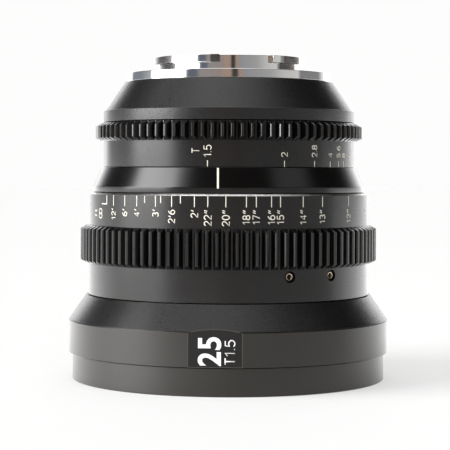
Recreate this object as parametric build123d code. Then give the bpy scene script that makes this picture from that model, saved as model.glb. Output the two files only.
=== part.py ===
from build123d import *
import math
import os

# Cinema prime lens, 25 mm T1.5, standing on its front rim with the bayonet mount up.
# Millimetres. The optical axis is +Z, the origin is the centre of the front rim's plane,
# and the index line faces -Y. Angles called "bearing" run from -Y towards +X.
# The rings are drawn as set in the photograph: the iris a little past T1.5, and the focus
# part way along its scale.

os.makedirs("parts", exist_ok=True)

# Shared clearances and cuts
seat_clearance = 0.05      # fixed pieces that sit in each other
running_clearance = 0.1    # pieces that turn or slide in each other
end_gap = 0.2              # visible gap between a turning ring and its neighbour
overrun = 5.0              # how far a cutting tool reaches past the metal
index_bearing = -4.7       # the index line and the label flat

# Front ring: the 85 mm clamp diameter and the 82 mm filter thread
clamp_diameter = 85.0
clamp_wall = 1.5           # leaves the 82 mm filter thread
front_ring_height = 7.4
thread_depth = 5.1
thread_entry = 0.6
rim_chamfer = 0.3
spigot_height = 2.2
spigot_wall = 1.2
spigot_inset = 1.7

# Front housing: wide band, cone and inner web
band_overhang = 0.95       # makes the band 86.9 mm across
band_height = 8.8
front_cone_height = 6.6
front_cone_overhang = 0.6  # beyond the focus ring's band
housing_wall = 2.4
web_thickness = 2.5
label_flat_depth = 0.55
housing_screw_count = 6
housing_screw_length = 4.4
housing_screw_diameter = 2.0
housing_head_diameter = 3.8
housing_head_height = 1.2

# Front baffle: stepped light trap round the front glass
baffle_steps = 8
baffle_step_rise = 0.4
baffle_lip = 0.8
baffle_gap = 0.7

# Main barrel: the fixed tube that everything else is mounted on
barrel_depth = 10.9        # from the clamp ring's outside down to the barrel's
barrel_wall = 2.5
barrel_flange_width = 4.4
barrel_flange_height = 2.5
barrel_shoulder_width = 2.1
barrel_shoulder_height = 2.5
barrel_tail = 2.8

# Focus ring, with 0.8 module teeth
gear_module = 0.8
pressure_angle = 20.0
tooth_end_chamfer = 0.7
tooth_end_land = 0.15
gear_bore_depth = 2.0
focus_wall = 4.2
focus_root_rise = 0.4      # the teeth's roots above the band
focus_skirt_height = 8.4
focus_gear_height = 10.3
focus_scale_height = 8.75
focus_edge_chamfer = 0.4
focus_screw_bearings = (23.8, 43.7, 203.8, 223.7)
focus_screw_drop = 1.9
focus_screw_diameter = 3.0
focus_screw_sink = 0.5
hex_socket_width = 1.5
hex_socket_depth = 1.4

# Focus drive: cam sleeve with three helical slots, followers on the sliding cell
focus_to_infinity = 52.1
focus_to_near = -98.9
focus_lead = 7.4
sleeve_wall = 2.25
follower_count = 3
follower_height = 28.0
follower_stagger = 4.5
follower_first_angle = 30.0
roller_diameter = 3.0
roller_pin_diameter = 1.8
slot_end_margin = 0.6

# Index ring between the two turning rings
index_band_inset = 1.15
index_band_height = 1.5
index_cone_height = 5.1
index_cone_overhang = 0.65

# Iris ring, with the same teeth
iris_wall = 2.55
iris_root_rise = 0.35
iris_scale_height = 6.8
iris_gear_height = 5.0
iris_edge_chamfer = 0.2

# Iris mechanism: blades on fixed pivots, driven by curved slots in the cam ring
iris_to_open = 4.5
iris_to_closed = -76.0
blade_ratio = 0.436
blade_count = 10
aperture_share = 0.3793    # shares of the sliding bore's radius
blade_pivot_share = 0.6
lever_share = 0.3793
cam_bore_share = 0.431
blade_clear_gap = 0.3
blade_head_radius = 2.0
blade_band_gap = 1.0
blade_span = 112.0
blade_lead_in = 6.0
blade_thickness = 0.12
blade_pitch = 0.2
lever_width = 1.8
blade_pin_radius = 0.45
iris_base_thickness = 1.0
iris_base_rim_width = 2.1
iris_floor_gap = 0.1
cam_plate_thickness = 0.8
cam_plate_gap = 0.5
cam_rim_width = 2.4
cam_rim_height = 3.5
cam_slot_points = 7
key_count = 2
key_diameter = 2.0
key_first_angle = 80.0
key_sink = 1.6
iris_lock_height = 1.2
iris_lock_width = 3.5

# Rear housing: short band and cone under the mount
rear_band_height = 3.1
rear_cone_height = 7.9
rear_cone_inset = 0.55
rear_cone_overhang = 0.7   # beyond the mount's flange
rear_wall = 2.3
rear_top_thickness = 2.6

# Bayonet mount: flange, collar and three lugs
flange_diameter = 55.6
flange_height = 2.4
flange_chamfer = 0.2
collar_diameter = 38.6
collar_height = 4.2
throat_wall = 1.7
throat_ledge = 0.6
lug_reach = 1.3
lug_height = 2.0
lug_angle = 78.0
lug_count = 3
lug_first_bearing = -46.7
mount_screw_count = 4
mount_screw_inset = 4.2
mount_screw_diameter = 2.0
mount_screw_length = 4.4
mount_head_diameter = 3.8
mount_head_height = 0.9
lock_notch_bearing = 110.0
lock_notch_width = 2.6
lock_notch_length = 3.6
lock_notch_depth = 1.2
mount_baffle_height = 1.6
mount_baffle_width = 4.05
mount_baffle_flare = 1.2

# Sliding front cell and its glass, from the front backwards
cell_front_height = 10.4
cell_length = 39.6
front_bore_wall = 2.0
front_retainer_height = 2.0
front_retainer_width = 1.9
front_glass_sag = 3.3
front_glass_middle = 3.5
front_glass_rear_flat = 4.95
front_glass_rear_sag = 7.0
front_spacer_height = 7.6
front_spacer_wall = 2.5
cell_land_height = 3.8
inner_bore_wall = 7.9
cell_land_width = 1.6
second_glass_sag = 2.4
second_glass_edge = 3.0
middle_spacer_height = 4.6
middle_spacer_wall = 1.6
third_glass_sag = 1.8
third_glass_back_sag = 0.9
third_glass_edge = 3.4
cell_retainer_height = 2.0
glass_margin = 0.25

# Fixed rear cell and its glass
rear_cell_nose = 4.1
rear_cell_flange_height = 2.5
rear_cell_nose_wall = 1.6
rear_cell_gap = 0.8        # inside the mount's throat
rear_cell_drop = 2.55      # below the mount's top
fourth_bore_step = 1.8
fourth_glass_edge = 2.6
fourth_glass_sag = 1.2
rear_cell_wall = 1.6
rear_cell_step_rise = 0.45 # above the cell's flange
rear_glass_edge = 3.2
rear_glass_sag = 1.3
rear_glass_back_sag = 0.9
rear_retainer_height = 1.0
ring_lip = 1.3
rear_lock_height = 2.0
rear_lock_width = 3.6

# Heights, stacked from the front rim
band_bottom = front_ring_height
web_bottom = front_ring_height + spigot_height
web_top = web_bottom + web_thickness
cone_bottom = band_bottom + band_height
cone_top = cone_bottom + front_cone_height
focus_bottom = cone_top + end_gap
focus_gear_bottom = focus_bottom + focus_skirt_height
focus_gear_top = focus_gear_bottom + focus_gear_height
focus_top = focus_gear_top + focus_scale_height
index_bottom = focus_top + end_gap
index_top = index_bottom + index_band_height + index_cone_height
iris_bottom = index_top + end_gap
iris_gear_bottom = iris_bottom + iris_scale_height
iris_top = iris_gear_bottom + iris_gear_height
rear_bottom = iris_top + end_gap
rear_cone_bottom = rear_bottom + rear_band_height
flange_bottom = rear_cone_bottom + rear_cone_height
flange_top = flange_bottom + flange_height
mount_top = flange_top + collar_height
barrel_bottom = web_bottom + seat_clearance
barrel_top = rear_bottom + barrel_tail
barrel_flange_top = web_top + barrel_flange_height

# Radii that several pieces share, from the clamp ring inwards and out again
clamp_radius = clamp_diameter / 2
thread_radius = clamp_radius - clamp_wall
band_radius = clamp_radius + band_overhang
spigot_radius = clamp_radius - spigot_inset
barrel_radius = clamp_radius - barrel_depth
barrel_flange_radius = barrel_radius + barrel_flange_width
bore_radius = barrel_radius - barrel_wall
sleeve_bore_radius = barrel_radius + running_clearance
sleeve_radius = sleeve_bore_radius + sleeve_wall
focus_bore_radius = sleeve_radius + seat_clearance
focus_band_radius = focus_bore_radius + focus_wall
front_cone_radius = focus_band_radius + front_cone_overhang
index_band_radius = focus_band_radius - index_band_inset
cell_radius = bore_radius - running_clearance
fixed_radius = bore_radius - seat_clearance
iris_bore_radius = barrel_radius + running_clearance
iris_band_radius = iris_bore_radius + iris_wall
index_cone_radius = iris_band_radius + index_cone_overhang
rear_cone_low_radius = iris_band_radius - rear_cone_inset
rear_cone_high_radius = flange_diameter / 2 + rear_cone_overhang
throat_radius = collar_diameter / 2 - throat_wall
lug_radius = collar_diameter / 2 + lug_reach
mount_screw_radius = flange_diameter / 2 - mount_screw_inset

# Teeth, as many as fit round each ring above its band
dedendum = 1.25 * gear_module
focus_teeth = round(2 * (focus_band_radius + focus_root_rise + dedendum) / gear_module)
iris_teeth = round(2 * (iris_band_radius + iris_root_rise + dedendum) / gear_module)

# Iris radii, in the bore of the barrel
aperture_radius = cell_radius * aperture_share
blade_clear_radius = aperture_radius + blade_clear_gap
blade_pivot_radius = cell_radius * blade_pivot_share
blade_outer_radius = blade_pivot_radius - blade_band_gap
lever_length = cell_radius * lever_share
cam_plate_bore_radius = cell_radius * cam_bore_share

# Iris stack: base plate, blades, cam plate
iris_seat = iris_bottom - iris_base_thickness
iris_floor = iris_seat + iris_base_thickness
blade_floor = iris_floor + iris_floor_gap
blade_ceiling = blade_floor + blade_count * blade_pitch
cam_plate_bottom = blade_ceiling + cam_plate_gap
cam_plate_top = cam_plate_bottom + cam_plate_thickness
cam_rim_top = cam_plate_top + cam_rim_height
key_height = cam_plate_top + cam_rim_height / 2
iris_lock_bottom = cam_rim_top + running_clearance
iris_lock_top = iris_lock_bottom + iris_lock_height
cell_flange_top = iris_lock_top + rear_cell_flange_height
open_at_rest = iris_to_open * blade_ratio


def ring_of(points):
    """Turn a closed outline of (radius, height) points round the optical axis."""
    outline = make_face(Plane.XZ * Polyline(*points, close=True))
    return revolve(outline, Axis.Z)


def tube(outer, inner, bottom, top):
    """A plain ring between two radii and two heights."""
    return ring_of([(inner, bottom), (outer, bottom), (outer, top), (inner, top)])


def disc(radius, bottom, top):
    """A plain cylinder on the optical axis."""
    centre = Pos(0, 0, bottom)
    return centre * Cylinder(radius, top - bottom, align=(Align.CENTER, Align.CENTER, Align.MIN))


def radial_rod(radius, start, end, height, angle):
    """A rod that points away from the axis, from one radius to another."""
    rod = Cylinder(radius, end - start, align=(Align.CENTER, Align.CENTER, Align.MIN))
    return Rot(0, 0, angle) * Pos(start, 0, height) * Rot(0, 90, 0) * rod


def bearing(degrees):
    """The polar angle of a bearing, which runs from -Y towards +X."""
    return degrees - 90.0


def around(count, first=0.0):
    """Evenly spaced polar angles."""
    return [first + 360.0 * step / count for step in range(count)]


def write(shape, node):
    """Save one sub-part under its node's name."""
    shape.label = node
    export_step(shape, "parts/" + node + ".step")


def sag(radius, full_radius, full_sag):
    """Depth of a spherical cap at a radius, when the whole cap is full_sag deep."""
    sphere = (full_radius**2 + full_sag**2) / (2 * full_sag)
    return sphere - math.copysign(math.sqrt(sphere**2 - radius**2), sphere)


def ball(rim, radius, depth):
    """Ball that crosses the rim's height at a radius and has its pole depth below it."""
    size = (radius**2 + depth**2) / (2 * abs(depth))
    centre = rim - depth + math.copysign(size, depth)
    return Pos(0, 0, centre) * Rot(90, 0, 0) * Sphere(size)


def cap(rim, radius, depth):
    """Slice of that ball between its pole and the rim's height."""
    low, high = sorted((rim, rim - depth))
    reach = overrun if depth > 0 else 0
    return ball(rim, radius, depth) & disc(radius + overrun, low - reach, high + overrun - reach)


def glass(edge, front_pole, front_sag, front_radius, back_pole, back_sag, back_radius):
    """A lens element: two spherical faces, a ground edge and a flat round each face."""
    front_rim = front_pole + front_sag
    back_rim = back_pole + back_sag
    if front_radius == edge:
        body = disc(edge, front_pole - overrun, back_rim) & ball(front_rim, edge, front_sag)
    else:
        body = disc(edge, front_rim, back_rim)
        front_cap = cap(front_rim, front_radius, front_sag)
        body = body + front_cap if front_sag > 0 else body - front_cap
    back_cap = cap(back_rim, back_radius, back_sag)
    return body + back_cap if back_sag < 0 else body - back_cap


# Front ring
def front_ring():
    """Clamp ring with the filter thread's bore and a spigot into the housing."""
    spigot_bore = spigot_radius - spigot_wall
    return ring_of([
        (thread_radius + thread_entry, 0),
        (clamp_radius - rim_chamfer, 0),
        (clamp_radius, rim_chamfer),
        (clamp_radius, front_ring_height),
        (spigot_radius, front_ring_height),
        (spigot_radius, web_bottom),
        (spigot_bore, web_bottom),
        (spigot_bore, thread_depth),
        (thread_radius, thread_depth),
        (thread_radius, thread_entry),
    ])


# Front baffle
def front_baffle():
    """Ring with steps that fall back towards the glass."""
    outer = spigot_radius - spigot_wall - seat_clearance
    inner = cell_radius + baffle_gap
    top = web_bottom
    tread = (outer - inner) / baffle_steps
    lowest = top - baffle_lip - baffle_steps * baffle_step_rise
    points = [(inner, top), (outer, top)]
    for step in range(baffle_steps):
        height = lowest + step * baffle_step_rise
        points.append((outer - step * tread, height))
        points.append((outer - (step + 1) * tread, height))
    return ring_of(points)


# Front housing
def housing_outline():
    """Outer and inner outline of the housing before the flat is milled."""
    cone_radius = front_cone_radius
    inner_band = band_radius - housing_wall
    inner_cone = cone_radius - housing_wall
    return [
        (spigot_radius + seat_clearance, band_bottom),
        (band_radius, band_bottom),
        (band_radius, cone_bottom),
        (cone_radius, cone_top),
        (inner_cone, cone_top),
        (inner_band, cone_bottom),
        (inner_band, web_top),
        (barrel_radius + seat_clearance, web_top),
        (barrel_radius + seat_clearance, web_bottom),
        (spigot_radius + seat_clearance, web_bottom),
    ]


def screw_circle():
    """Radius on which the housing screws stand."""
    return (barrel_radius + barrel_flange_radius) / 2


def front_housing():
    """Turned housing with the label flat and the holes of its screws."""
    body = ring_of(housing_outline())
    flat_face_distance = band_radius - label_flat_depth
    cutter = Box(
        overrun, band_radius, front_cone_height + band_height,
        align=(Align.MIN, Align.CENTER, Align.MIN),
    )
    body -= Rot(0, 0, bearing(index_bearing)) * Pos(flat_face_distance, 0, band_bottom) * cutter
    for angle in around(housing_screw_count):
        place = Rot(0, 0, angle) * Pos(screw_circle(), 0, 0)
        body -= place * disc(housing_screw_diameter / 2 + seat_clearance, web_bottom, web_top)
        body -= place * disc(
            housing_head_diameter / 2 + seat_clearance, web_bottom,
            web_bottom + housing_head_height,
        )
    return body


def housing_screws():
    """Screws that clamp the housing's web to the barrel's flange."""
    screw = disc(housing_head_diameter / 2, web_bottom, web_bottom + housing_head_height)
    screw += disc(housing_screw_diameter / 2, web_bottom, web_bottom + housing_screw_length)
    screws = []
    for angle in around(housing_screw_count):
        screws.append(Rot(0, 0, angle) * Pos(screw_circle(), 0, 0) * screw)
    return Compound(children=screws)


# Main barrel
def follower_places():
    """Polar angle and height of each follower at rest."""
    places = []
    for step, angle in enumerate(around(follower_count, follower_first_angle)):
        places.append((angle, follower_height + step * follower_stagger))
    return places


def main_barrel():
    """Fixed tube with a flange, an iris shoulder, guide slots and iris key slots."""
    shoulder_bottom = iris_seat - barrel_shoulder_height
    shoulder_radius = bore_radius - barrel_shoulder_width
    body = ring_of([
        (bore_radius, barrel_bottom),
        (barrel_radius, barrel_bottom),
        (barrel_radius, web_top),
        (barrel_flange_radius, web_top),
        (barrel_flange_radius, barrel_flange_top),
        (barrel_radius, barrel_flange_top),
        (barrel_radius, barrel_top),
        (bore_radius, barrel_top),
        (bore_radius, iris_seat),
        (shoulder_radius, iris_seat),
        (shoulder_radius, shoulder_bottom),
        (bore_radius, shoulder_bottom - barrel_shoulder_width),
    ])
    for angle in around(housing_screw_count):
        depth = web_bottom + housing_screw_length + end_gap
        hole = disc(housing_screw_diameter / 2 + seat_clearance, web_top, depth)
        body -= Rot(0, 0, angle) * Pos(screw_circle(), 0, 0) * hole
    half_slot = roller_diameter / 2 + running_clearance
    for angle, height in follower_places():
        low = height + focus_lead * focus_to_near / 360 - slot_end_margin
        high = height + focus_lead * focus_to_infinity / 360 + slot_end_margin
        for end in (low, high):
            body -= radial_rod(half_slot, bore_radius - overrun, barrel_radius + overrun, end, angle)
        middle = Box(
            barrel_wall + 2 * overrun, 2 * half_slot, high - low,
            align=(Align.CENTER, Align.CENTER, Align.MIN),
        )
        body -= Rot(0, 0, angle) * Pos(barrel_radius - barrel_wall / 2, 0, low) * middle
    for angle in around(key_count, key_first_angle):
        body -= key_slot(angle)
    return body


def key_slot(angle):
    """Curved slot that lets an iris key swing through the iris ring's travel."""
    half_height = key_diameter / 2 + running_clearance
    margin = math.degrees((half_height + slot_end_margin) / bore_radius)
    swing = iris_to_open - iris_to_closed + 2 * margin
    section = Pos(barrel_radius - barrel_wall / 2, 0) * Rectangle(
        barrel_wall + 2 * running_clearance, 2 * half_height
    )
    sector = revolve(Plane.XZ * section, Axis.Z, revolution_arc=swing)
    return Pos(0, 0, key_height) * Rot(0, 0, angle + iris_to_closed - margin) * sector


# Focus drive
def focus_sleeve():
    """Turning sleeve whose helical slots push the followers along the axis."""
    bottom = barrel_flange_top + running_clearance
    top = index_bottom - end_gap
    body = tube(sleeve_radius, sleeve_bore_radius, bottom, top)
    half_slot = roller_diameter / 2 + running_clearance
    margin = math.degrees(slot_end_margin / sleeve_radius)
    swing = focus_to_infinity - focus_to_near + 2 * margin
    rise = focus_lead * swing / 360
    middle_radius = (sleeve_radius + sleeve_bore_radius) / 2
    path = Helix(focus_lead, rise, middle_radius, lefthand=True)
    start = Plane(origin=path @ 0, x_dir=(1, 0, 0), z_dir=path % 0)
    channel = sweep(start * Rectangle(sleeve_wall * 2, 2 * half_slot), path, is_frenet=True)
    for angle, height in follower_places():
        low_angle = angle - focus_to_near + margin
        low = height + focus_lead * (focus_to_near - margin) / 360
        body -= Pos(0, 0, low) * Rot(0, 0, low_angle) * channel
        ends = [(low_angle, low), (low_angle - swing, low + rise)]
        for end_angle, end in ends:
            body -= radial_rod(
                half_slot, sleeve_bore_radius - sleeve_wall, sleeve_radius + sleeve_wall,
                end, end_angle,
            )
    return body


def follower_rollers():
    """Brass rollers that run in the barrel's straight slots and the sleeve's helical ones."""
    rollers = []
    for angle, height in follower_places():
        start = cell_radius + running_clearance
        end = sleeve_radius - running_clearance
        roller = radial_rod(roller_diameter / 2, start, end, height, angle)
        bore = roller_pin_diameter / 2 + seat_clearance
        roller -= radial_rod(bore, start - overrun, end + overrun, height, angle)
        rollers.append(roller)
    return Compound(children=rollers)


def follower_pins():
    """Steel pins screwed into the sliding cell, which carry the rollers."""
    pins = []
    for angle, height in follower_places():
        start = front_bore_radius + seat_clearance
        end = sleeve_radius - running_clearance
        pins.append(radial_rod(roller_pin_diameter / 2, start, end, height, angle))
    return Compound(children=pins)


# Toothed rings
def tooth_outline(teeth):
    """Closed outline of straight-flanked teeth, root and tip flats included."""
    pitch_radius = gear_module * teeth / 2
    tip = pitch_radius + gear_module
    root = pitch_radius - dedendum
    slope = math.tan(math.radians(pressure_angle))
    half_tooth = math.pi * gear_module / 4
    tip_half = math.degrees((half_tooth - gear_module * slope) / tip)
    root_half = math.degrees((half_tooth + dedendum * slope) / root)
    points = []
    for angle in around(teeth):
        corners = [(root, -root_half), (tip, -tip_half), (tip, tip_half), (root, root_half)]
        for radius, offset in corners:
            turn = math.radians(angle + offset)
            points.append((radius * math.cos(turn), radius * math.sin(turn)))
    return points


def toothed_ring(teeth, bottom, height):
    """Ring of teeth whose ends are chamfered down to the roots."""
    pitch_radius = gear_module * teeth / 2
    tip = pitch_radius + gear_module
    root = pitch_radius - dedendum
    teeth_face = make_face(Polyline(*tooth_outline(teeth), close=True))
    blank = extrude(teeth_face, height)
    envelope = ring_of([
        (root - gear_bore_depth, 0),
        (root + tooth_end_land, 0),
        (tip, tooth_end_chamfer),
        (tip, height - tooth_end_chamfer),
        (root + tooth_end_land, height),
        (root - gear_bore_depth, height),
    ])
    return Pos(0, 0, bottom) * (blank & envelope)


def focus_ring():
    """Distance scale band, toothed ring and skirt, turned and milled from one tube."""
    outer = focus_band_radius
    body = ring_of([
        (focus_bore_radius, focus_bottom),
        (outer - iris_edge_chamfer, focus_bottom),
        (outer, focus_bottom + iris_edge_chamfer),
        (outer, focus_top - focus_edge_chamfer),
        (outer - focus_edge_chamfer, focus_top),
        (focus_bore_radius, focus_top),
    ])
    body += toothed_ring(focus_teeth, focus_gear_bottom, focus_gear_height)
    hole = focus_screw_diameter / 2 + seat_clearance
    height = focus_gear_bottom - focus_screw_drop
    for place in focus_screw_bearings:
        body -= radial_rod(hole, focus_bore_radius - overrun, outer + overrun, height, bearing(place))
    return body


def focus_set_screws():
    """Socket set screws that lock the ring to the sleeve."""
    outer = focus_band_radius - focus_screw_sink
    height = focus_gear_bottom - focus_screw_drop
    screws = []
    for place in focus_screw_bearings:
        start = focus_bore_radius
        screw = radial_rod(focus_screw_diameter / 2, start, outer, height, bearing(place))
        socket = extrude(RegularPolygon(hex_socket_width / 2, 6, major_radius=False), overrun)
        seat = Pos(outer - hex_socket_depth, 0, height) * Rot(0, 90, 0)
        screw -= Rot(0, 0, bearing(place)) * seat * socket
        screws.append(screw)
    return Compound(children=screws)


# Index ring
def index_ring():
    """Fixed ring with the index line, a short band and a cone."""
    inner = barrel_radius + seat_clearance
    return ring_of([
        (inner, index_bottom),
        (index_band_radius, index_bottom),
        (index_band_radius, index_bottom + index_band_height),
        (index_cone_radius, index_top),
        (inner, index_top),
    ])


# Iris ring and its keys
def iris_ring():
    """T-stop scale band and toothed ring, with blind holes for the keys."""
    outer = iris_band_radius
    body = ring_of([
        (iris_bore_radius, iris_bottom),
        (outer - iris_edge_chamfer, iris_bottom),
        (outer, iris_bottom + iris_edge_chamfer),
        (outer, iris_top - iris_edge_chamfer),
        (outer - iris_edge_chamfer, iris_top),
        (iris_bore_radius, iris_top),
    ])
    body += toothed_ring(iris_teeth, iris_gear_bottom, iris_gear_height)
    body -= disc(iris_bore_radius, iris_bottom - overrun, iris_top + overrun)
    for angle in around(key_count, key_first_angle):
        end = iris_bore_radius + key_sink
        body -= radial_rod(
            key_diameter / 2 + seat_clearance, iris_bore_radius - overrun, end, key_height, angle
        )
    return body


def iris_keys():
    """Pins that carry the iris ring's turn through the barrel to the cam ring."""
    inner = cell_radius - cam_rim_width
    outer = iris_bore_radius + key_sink - seat_clearance
    keys = []
    for angle in around(key_count, key_first_angle):
        keys.append(radial_rod(key_diameter / 2, inner, outer, key_height, angle))
    return Compound(children=keys)


# Iris mechanism
def iris_base():
    """Fixed plate with the aperture, the blade pivot holes and the cam ring's track."""
    body = tube(fixed_radius, aperture_radius, iris_seat, iris_floor)
    body += tube(
        fixed_radius, fixed_radius - iris_base_rim_width, iris_seat,
        cam_plate_bottom - running_clearance,
    )
    for angle in around(blade_count):
        hole = disc(blade_pin_radius + running_clearance, iris_seat - overrun, iris_floor + overrun)
        body -= Rot(0, 0, angle) * Pos(blade_pivot_radius, 0, 0) * hole
    return body


def lever_tip(opening):
    """Place of a blade's drive pin when the blade has closed by some degrees from open."""
    turn = math.radians(opening)
    return (
        blade_pivot_radius + lever_length * math.sin(turn),
        lever_length * math.cos(turn),
    )


def cam_slot():
    """Slot in the cam ring that turns the blade in step with the iris ring."""
    half = blade_pin_radius + running_clearance
    first = iris_to_open + slot_end_margin
    last = iris_to_closed - slot_end_margin
    step = (last - first) / (cam_slot_points - 1)
    path = []
    for index in range(cam_slot_points):
        ring_turn = first + index * step
        x, y = lever_tip((iris_to_open - ring_turn) * blade_ratio)
        turn = math.radians(-ring_turn)
        path.append((
            x * math.cos(turn) - y * math.sin(turn),
            x * math.sin(turn) + y * math.cos(turn),
        ))
    line = Spline(*path)
    sides = []
    for side in (half, -half):
        edge = []
        for index in range(cam_slot_points):
            share = index / (cam_slot_points - 1)
            point = line @ share
            along = line % share
            edge.append((point.X - side * along.Y, point.Y + side * along.X))
        sides.append(edge)
    left, right = sides
    start_tip = line @ 0 - (line % 0) * half
    end_tip = line @ 1 + (line % 1) * half
    outline = Spline(*left)
    outline += ThreePointArc(left[-1], end_tip, right[-1])
    outline += Spline(*reversed(right))
    outline += ThreePointArc(right[0], start_tip, left[0])
    depth = cam_plate_thickness + 2 * running_clearance
    return Pos(0, 0, cam_plate_bottom - running_clearance) * extrude(make_face(outline), depth)


def iris_cam_ring():
    """Plate with one curved slot per blade, and a rim that the keys turn."""
    body = tube(cell_radius, cam_plate_bore_radius, cam_plate_bottom, cam_plate_top)
    body += tube(cell_radius, cell_radius - cam_rim_width, cam_plate_bottom, cam_rim_top)
    slot = cam_slot()
    for angle in around(blade_count):
        body -= Rot(0, 0, angle) * slot
    for angle in around(key_count, key_first_angle):
        body -= radial_rod(
            key_diameter / 2 + seat_clearance, cell_radius - cam_rim_width - overrun / 2,
            cell_radius + overrun, key_height, angle,
        )
    return body


def iris_blade(number):
    """Thin blade with a pivot pin below and a drive pin above, on its own level."""
    bottom = blade_floor + number * blade_pitch
    top = bottom + blade_thickness
    middle_radius = (blade_clear_radius + blade_outer_radius) / 2
    sector = revolve(
        Plane.XZ * Pos(middle_radius, bottom + blade_thickness / 2) * Rectangle(
            blade_outer_radius - blade_clear_radius, blade_thickness
        ),
        Axis.Z, revolution_arc=blade_span + blade_lead_in,
    )
    body = Rot(0, 0, -blade_span) * sector
    pivot = Pos(blade_pivot_radius, 0, 0)
    lever = Box(lever_width, lever_length, blade_thickness, align=(Align.CENTER, Align.MIN, Align.MIN))
    body += pivot * Pos(0, 0, bottom) * lever
    body += pivot * disc(blade_head_radius, bottom, top)
    body += pivot * Pos(0, lever_length, 0) * disc(lever_width / 2, bottom, top)
    body += pivot * disc(blade_pin_radius, iris_seat + end_gap, top)
    body += pivot * Pos(0, lever_length, 0) * disc(blade_pin_radius, bottom, cam_plate_top - end_gap)
    closing = Rot(0, 0, -open_at_rest)
    body = pivot * closing * Pos(-blade_pivot_radius, 0, 0) * body
    return Rot(0, 0, 360.0 * number / blade_count) * body


def iris_lock_ring():
    """Ring that keeps the cam ring down on its track."""
    return tube(fixed_radius, fixed_radius - iris_lock_width, iris_lock_bottom, iris_lock_top)


# Rear housing
def rear_housing():
    """Band and cone that carry the mount and hold the barrel's tail."""
    band = iris_band_radius
    cone_low = rear_cone_low_radius
    cone_high = rear_cone_high_radius
    top_bottom = flange_bottom - rear_top_thickness
    tail_radius = barrel_radius + seat_clearance
    shoulder = barrel_top + seat_clearance
    return ring_of([
        (tail_radius, rear_bottom),
        (band, rear_bottom),
        (band, rear_cone_bottom),
        (cone_low, rear_cone_bottom),
        (cone_high, flange_bottom),
        (throat_radius, flange_bottom),
        (throat_radius, top_bottom),
        (cone_high - rear_wall, top_bottom),
        (bore_radius, shoulder),
        (tail_radius, shoulder),
    ])


def mount_screw_places():
    """Polar angles of the mount's screws."""
    return around(mount_screw_count, bearing(index_bearing) + 180.0 / mount_screw_count)


def drilled_rear_housing():
    """The rear housing with its tapped holes for the mount's screws."""
    body = rear_housing()
    for angle in mount_screw_places():
        end = flange_top - mount_screw_length - end_gap
        hole = disc(mount_screw_diameter / 2 + seat_clearance, end, flange_bottom + overrun)
        body -= Rot(0, 0, angle) * Pos(mount_screw_radius, 0, 0) * hole
    return body


# Bayonet mount
def bayonet_mount():
    """Flange, collar and three lugs of the 38 mm throat bayonet."""
    flange = flange_diameter / 2
    collar = collar_diameter / 2
    throat = throat_radius
    ledge = throat - throat_ledge
    ledge_top = mount_top - mount_baffle_height - end_gap
    body = ring_of([
        (ledge, flange_bottom),
        (flange, flange_bottom),
        (flange, flange_top - flange_chamfer),
        (flange - flange_chamfer, flange_top),
        (collar, flange_top),
        (collar, mount_top),
        (throat, mount_top),
        (throat, ledge_top),
        (ledge, ledge_top),
    ])
    lug_middle = (throat + lug_radius) / 2
    lug_section = Pos(lug_middle, mount_top - lug_height / 2) * Rectangle(
        lug_radius - throat, lug_height
    )
    lug = revolve(Plane.XZ * lug_section, Axis.Z, revolution_arc=lug_angle)
    for angle in around(lug_count, bearing(lug_first_bearing) - lug_angle / 2):
        body += Rot(0, 0, angle) * lug
    for angle in mount_screw_places():
        place = Rot(0, 0, angle) * Pos(mount_screw_radius, 0, 0)
        shank = mount_screw_diameter / 2 + seat_clearance
        head = mount_head_diameter / 2 + seat_clearance
        body -= place * disc(shank, flange_bottom - overrun, flange_top + overrun)
        body -= place * disc(head, flange_top - mount_head_height, flange_top + overrun)
    notch = Box(
        lock_notch_length, lock_notch_width, lock_notch_depth + overrun,
        align=(Align.CENTER, Align.CENTER, Align.MIN),
    )
    notch_place = Rot(0, 0, bearing(lock_notch_bearing)) * Pos(
        mount_screw_radius, 0, flange_top - lock_notch_depth
    )
    return body - notch_place * notch


def mount_screws():
    """Countersunk screws that hold the mount to the rear housing."""
    low = flange_top - mount_screw_length
    screw = disc(mount_head_diameter / 2, flange_top - mount_head_height, flange_top - flange_chamfer)
    screw += disc(mount_screw_diameter / 2, low, flange_top - mount_head_height)
    screws = []
    for angle in mount_screw_places():
        screws.append(Rot(0, 0, angle) * Pos(mount_screw_radius, 0, 0) * screw)
    return Compound(children=screws)


def mount_baffle():
    """Black ring in the collar that trims the light behind the rear glass."""
    outer = throat_radius - seat_clearance
    bottom = mount_top - mount_baffle_height - end_gap
    top = mount_top - end_gap
    bore = outer - mount_baffle_width
    return ring_of([(bore, bottom), (outer, bottom), (outer, top), (bore + mount_baffle_flare, top)])


# Sliding front cell
cell_top = cell_front_height + cell_length
front_bore_radius = cell_radius - front_bore_wall
inner_bore_radius = cell_radius - inner_bore_wall
cell_land_radius = inner_bore_radius - cell_land_width
front_glass_edge = front_bore_radius - seat_clearance
front_glass_rear_radius = front_glass_edge - front_glass_rear_flat
front_glass_front = cell_front_height + front_retainer_height - front_glass_sag
front_glass_back = front_glass_front + front_glass_middle
front_spacer_bottom = front_glass_back + front_glass_rear_sag
front_spacer_top = front_spacer_bottom + front_spacer_height
cell_land_top = front_spacer_top + cell_land_height
inner_glass_edge = inner_bore_radius - seat_clearance
inner_glass_clear = inner_glass_edge - middle_spacer_wall - glass_margin
second_glass_front = cell_land_top - second_glass_sag
second_glass_back = cell_land_top + second_glass_edge + second_glass_sag
middle_spacer_bottom = cell_land_top + second_glass_edge
middle_spacer_top = middle_spacer_bottom + middle_spacer_height
third_glass_front = middle_spacer_top - third_glass_sag
third_glass_back = middle_spacer_top + third_glass_edge - third_glass_back_sag
cell_retainer_bottom = middle_spacer_top + third_glass_edge


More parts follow.
